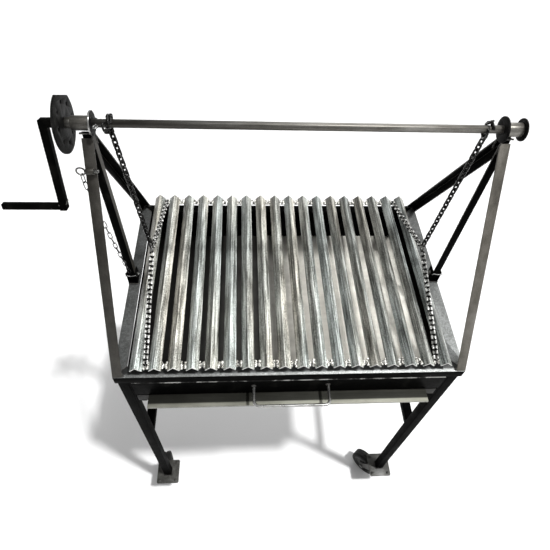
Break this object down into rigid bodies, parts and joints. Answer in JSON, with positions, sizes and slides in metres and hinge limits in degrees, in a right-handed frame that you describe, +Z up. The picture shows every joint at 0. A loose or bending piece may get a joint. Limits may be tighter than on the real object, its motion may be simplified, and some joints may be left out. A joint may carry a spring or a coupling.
{
  "type": "barbecue grill",
  "caption": "Charcoal grill on casters: crank and chain hoist lifts a V-bar grate over a slide-out fire drawer and ash pan.",
  "frame": {"origin": "on the floor under the middle of the outer box", "axes": "+X to the right of a cook who faces the fire drawer, +Y to the back, +Z up"},
  "size_m": [0.9988, 0.6718, 1.4556],
  "materials": {
    "rim_steel": "mill steel angle, light grey",
    "post_steel": "bare steel, grey-brown",
    "black_steel": "black satin",
    "zinc_steel": "zinc plated",
    "wheel_rubber": "dark rubber tread on a moulded centre",
    "grate_steel": "galvanised angle with pale streaks",
    "pan_steel": "sheet steel, olive grey",
    "rod_steel": "bright drawn rod"
  },
  "bodies": {
    "frame": {"caster_plate_front_left": "black_steel", "caster_plate_front_right": "black_steel", "caster_plate_rear_left": "black_steel", "caster_plate_rear_right": "black_steel", "drawer_runner_left": "black_steel", "drawer_runner_right": "black_steel", "front_post_left": "post_steel", "front_post_right": "post_steel", "hoist_chain_left": "zinc_steel", "hoist_chain_right": "zinc_steel", "lanyard": "zinc_steel", "leg_front_left": "black_steel", "leg_front_right": "black_steel", "leg_rear_left": "black_steel", "leg_rear_right": "black_steel", "middle_post_left": "black_steel", "middle_post_right": "black_steel", "pin_sleeve": "post_steel", "post_bolt_left": "zinc_steel", "post_bolt_right": "zinc_steel", "post_bracket_left": "black_steel", "post_bracket_right": "black_steel", "rear_post_left": "black_steel", "rear_post_right": "black_steel", "rim_front": "rim_steel", "rim_left": "rim_steel", "rim_rear": "rim_steel", "rim_right": "rim_steel", "shaft_hub_left": "post_steel", "shaft_hub_right": "post_steel", "side_stretcher_left": "black_steel", "side_stretcher_right": "black_steel"},
    "hoist": {"crank_shaft": "post_steel", "index_disc": "black_steel", "crank_arm": "black_steel", "crank_handle": "black_steel", "inner_washer_left": "zinc_steel", "inner_washer_right": "zinc_steel", "outer_washer_right": "zinc_steel"},
    "grate": {"grate": "grate_steel", "chain_ring_left": "zinc_steel", "chain_ring_right": "zinc_steel", "bridle_chain_front_left": "zinc_steel", "bridle_chain_rear_left": "zinc_steel", "bridle_chain_front_right": "zinc_steel", "bridle_chain_rear_right": "zinc_steel"},
    "fire_drawer": {"fire_drawer_tray": "black_steel", "fire_plate": "pan_steel", "fire_drawer_front": "black_steel", "fire_drawer_handle": "rod_steel"},
    "ash_pan": {"ash_pan": "pan_steel"},
    "lock_pin": {"lock_pin": "rod_steel"},
    "caster_fork_front_left": {"caster_fork_front_left": "zinc_steel"},
    "caster_wheel_front_left": {"caster_wheel_front_left": "wheel_rubber"},
    "caster_fork_front_right": {"caster_fork_front_right": "zinc_steel"},
    "caster_wheel_front_right": {"caster_wheel_front_right": "wheel_rubber"},
    "caster_fork_rear_left": {"caster_fork_rear_left": "zinc_steel"},
    "caster_wheel_rear_left": {"caster_wheel_rear_left": "wheel_rubber"},
    "caster_fork_rear_right": {"caster_fork_rear_right": "zinc_steel"},
    "caster_wheel_rear_right": {"caster_wheel_rear_right": "wheel_rubber"}
  },
  "joints": [
    {"name": "crank_turn", "type": "hinge", "parent": "frame", "child": "hoist", "pos_m": [0.07725, -0.01444, 1.40157], "axis": [1, 0, 0], "range_deg": [0, 1146]},
    {"name": "grate_lift", "type": "slide", "parent": "frame", "child": "grate", "axis": [0, 0, 1], "range_m": [0, 0.26], "deforming": ["hoist_chain_left", "hoist_chain_right"]},
    {"name": "fire_drawer_slide", "type": "slide", "parent": "frame", "child": "fire_drawer", "axis": [0, -1, 0], "range_m": [0, 0.35]},
    {"name": "ash_pan_slide", "type": "slide", "parent": "frame", "child": "ash_pan", "axis": [0, -1, 0], "range_m": [0, 0.35]},
    {"name": "lock_pin_slide", "type": "slide", "parent": "frame", "child": "lock_pin", "axis": [-1, 0, 0], "range_m": [0, 0.02]},
    {"name": "caster_swivel_front_left", "type": "hinge", "parent": "frame", "child": "caster_fork_front_left", "pos_m": [-0.30695, -0.26864, 0.12757], "axis": [0, 0, 1], "continuous": true},
    {"name": "caster_roll_front_left", "type": "hinge", "parent": "caster_fork_front_left", "child": "caster_wheel_front_left", "pos_m": [-0.31886, -0.22421, 0.04957], "axis": [0.9659, 0.2588, 0], "continuous": true},
    {"name": "caster_swivel_front_right", "type": "hinge", "parent": "frame", "child": "caster_fork_front_right", "pos_m": [0.46145, -0.26864, 0.12757], "axis": [0, 0, 1], "continuous": true},
    {"name": "caster_roll_front_right", "type": "hinge", "parent": "caster_fork_front_right", "child": "caster_wheel_front_right", "pos_m": [0.43067, -0.23446, 0.04957], "axis": [0.7431, 0.6691, 0], "continuous": true},
    {"name": "caster_swivel_rear_left", "type": "hinge", "parent": "frame", "child": "caster_fork_rear_left", "pos_m": [-0.30695, 0.23976, 0.12757], "axis": [0, 0, 1], "continuous": true},
    {"name": "caster_roll_rear_left", "type": "hinge", "parent": "caster_fork_rear_left", "child": "caster_wheel_rear_left", "pos_m": [-0.31651, 0.28475, 0.04957], "axis": [0.9781, 0.2079, 0], "continuous": true},
    {"name": "caster_swivel_rear_right", "type": "hinge", "parent": "frame", "child": "caster_fork_rear_right", "pos_m": [0.46145, 0.23976, 0.12757], "axis": [0, 0, 1], "continuous": true},
    {"name": "caster_roll_rear_right", "type": "hinge", "parent": "caster_fork_rear_right", "child": "caster_wheel_rear_right", "pos_m": [0.44572, 0.28298, 0.04957], "axis": [0.9397, 0.342, 0], "continuous": true}
  ],
  "couplings": [
    {"joint": "crank_turn", "follows": "grate_lift", "rad_per_m": 76.923}
  ]
}
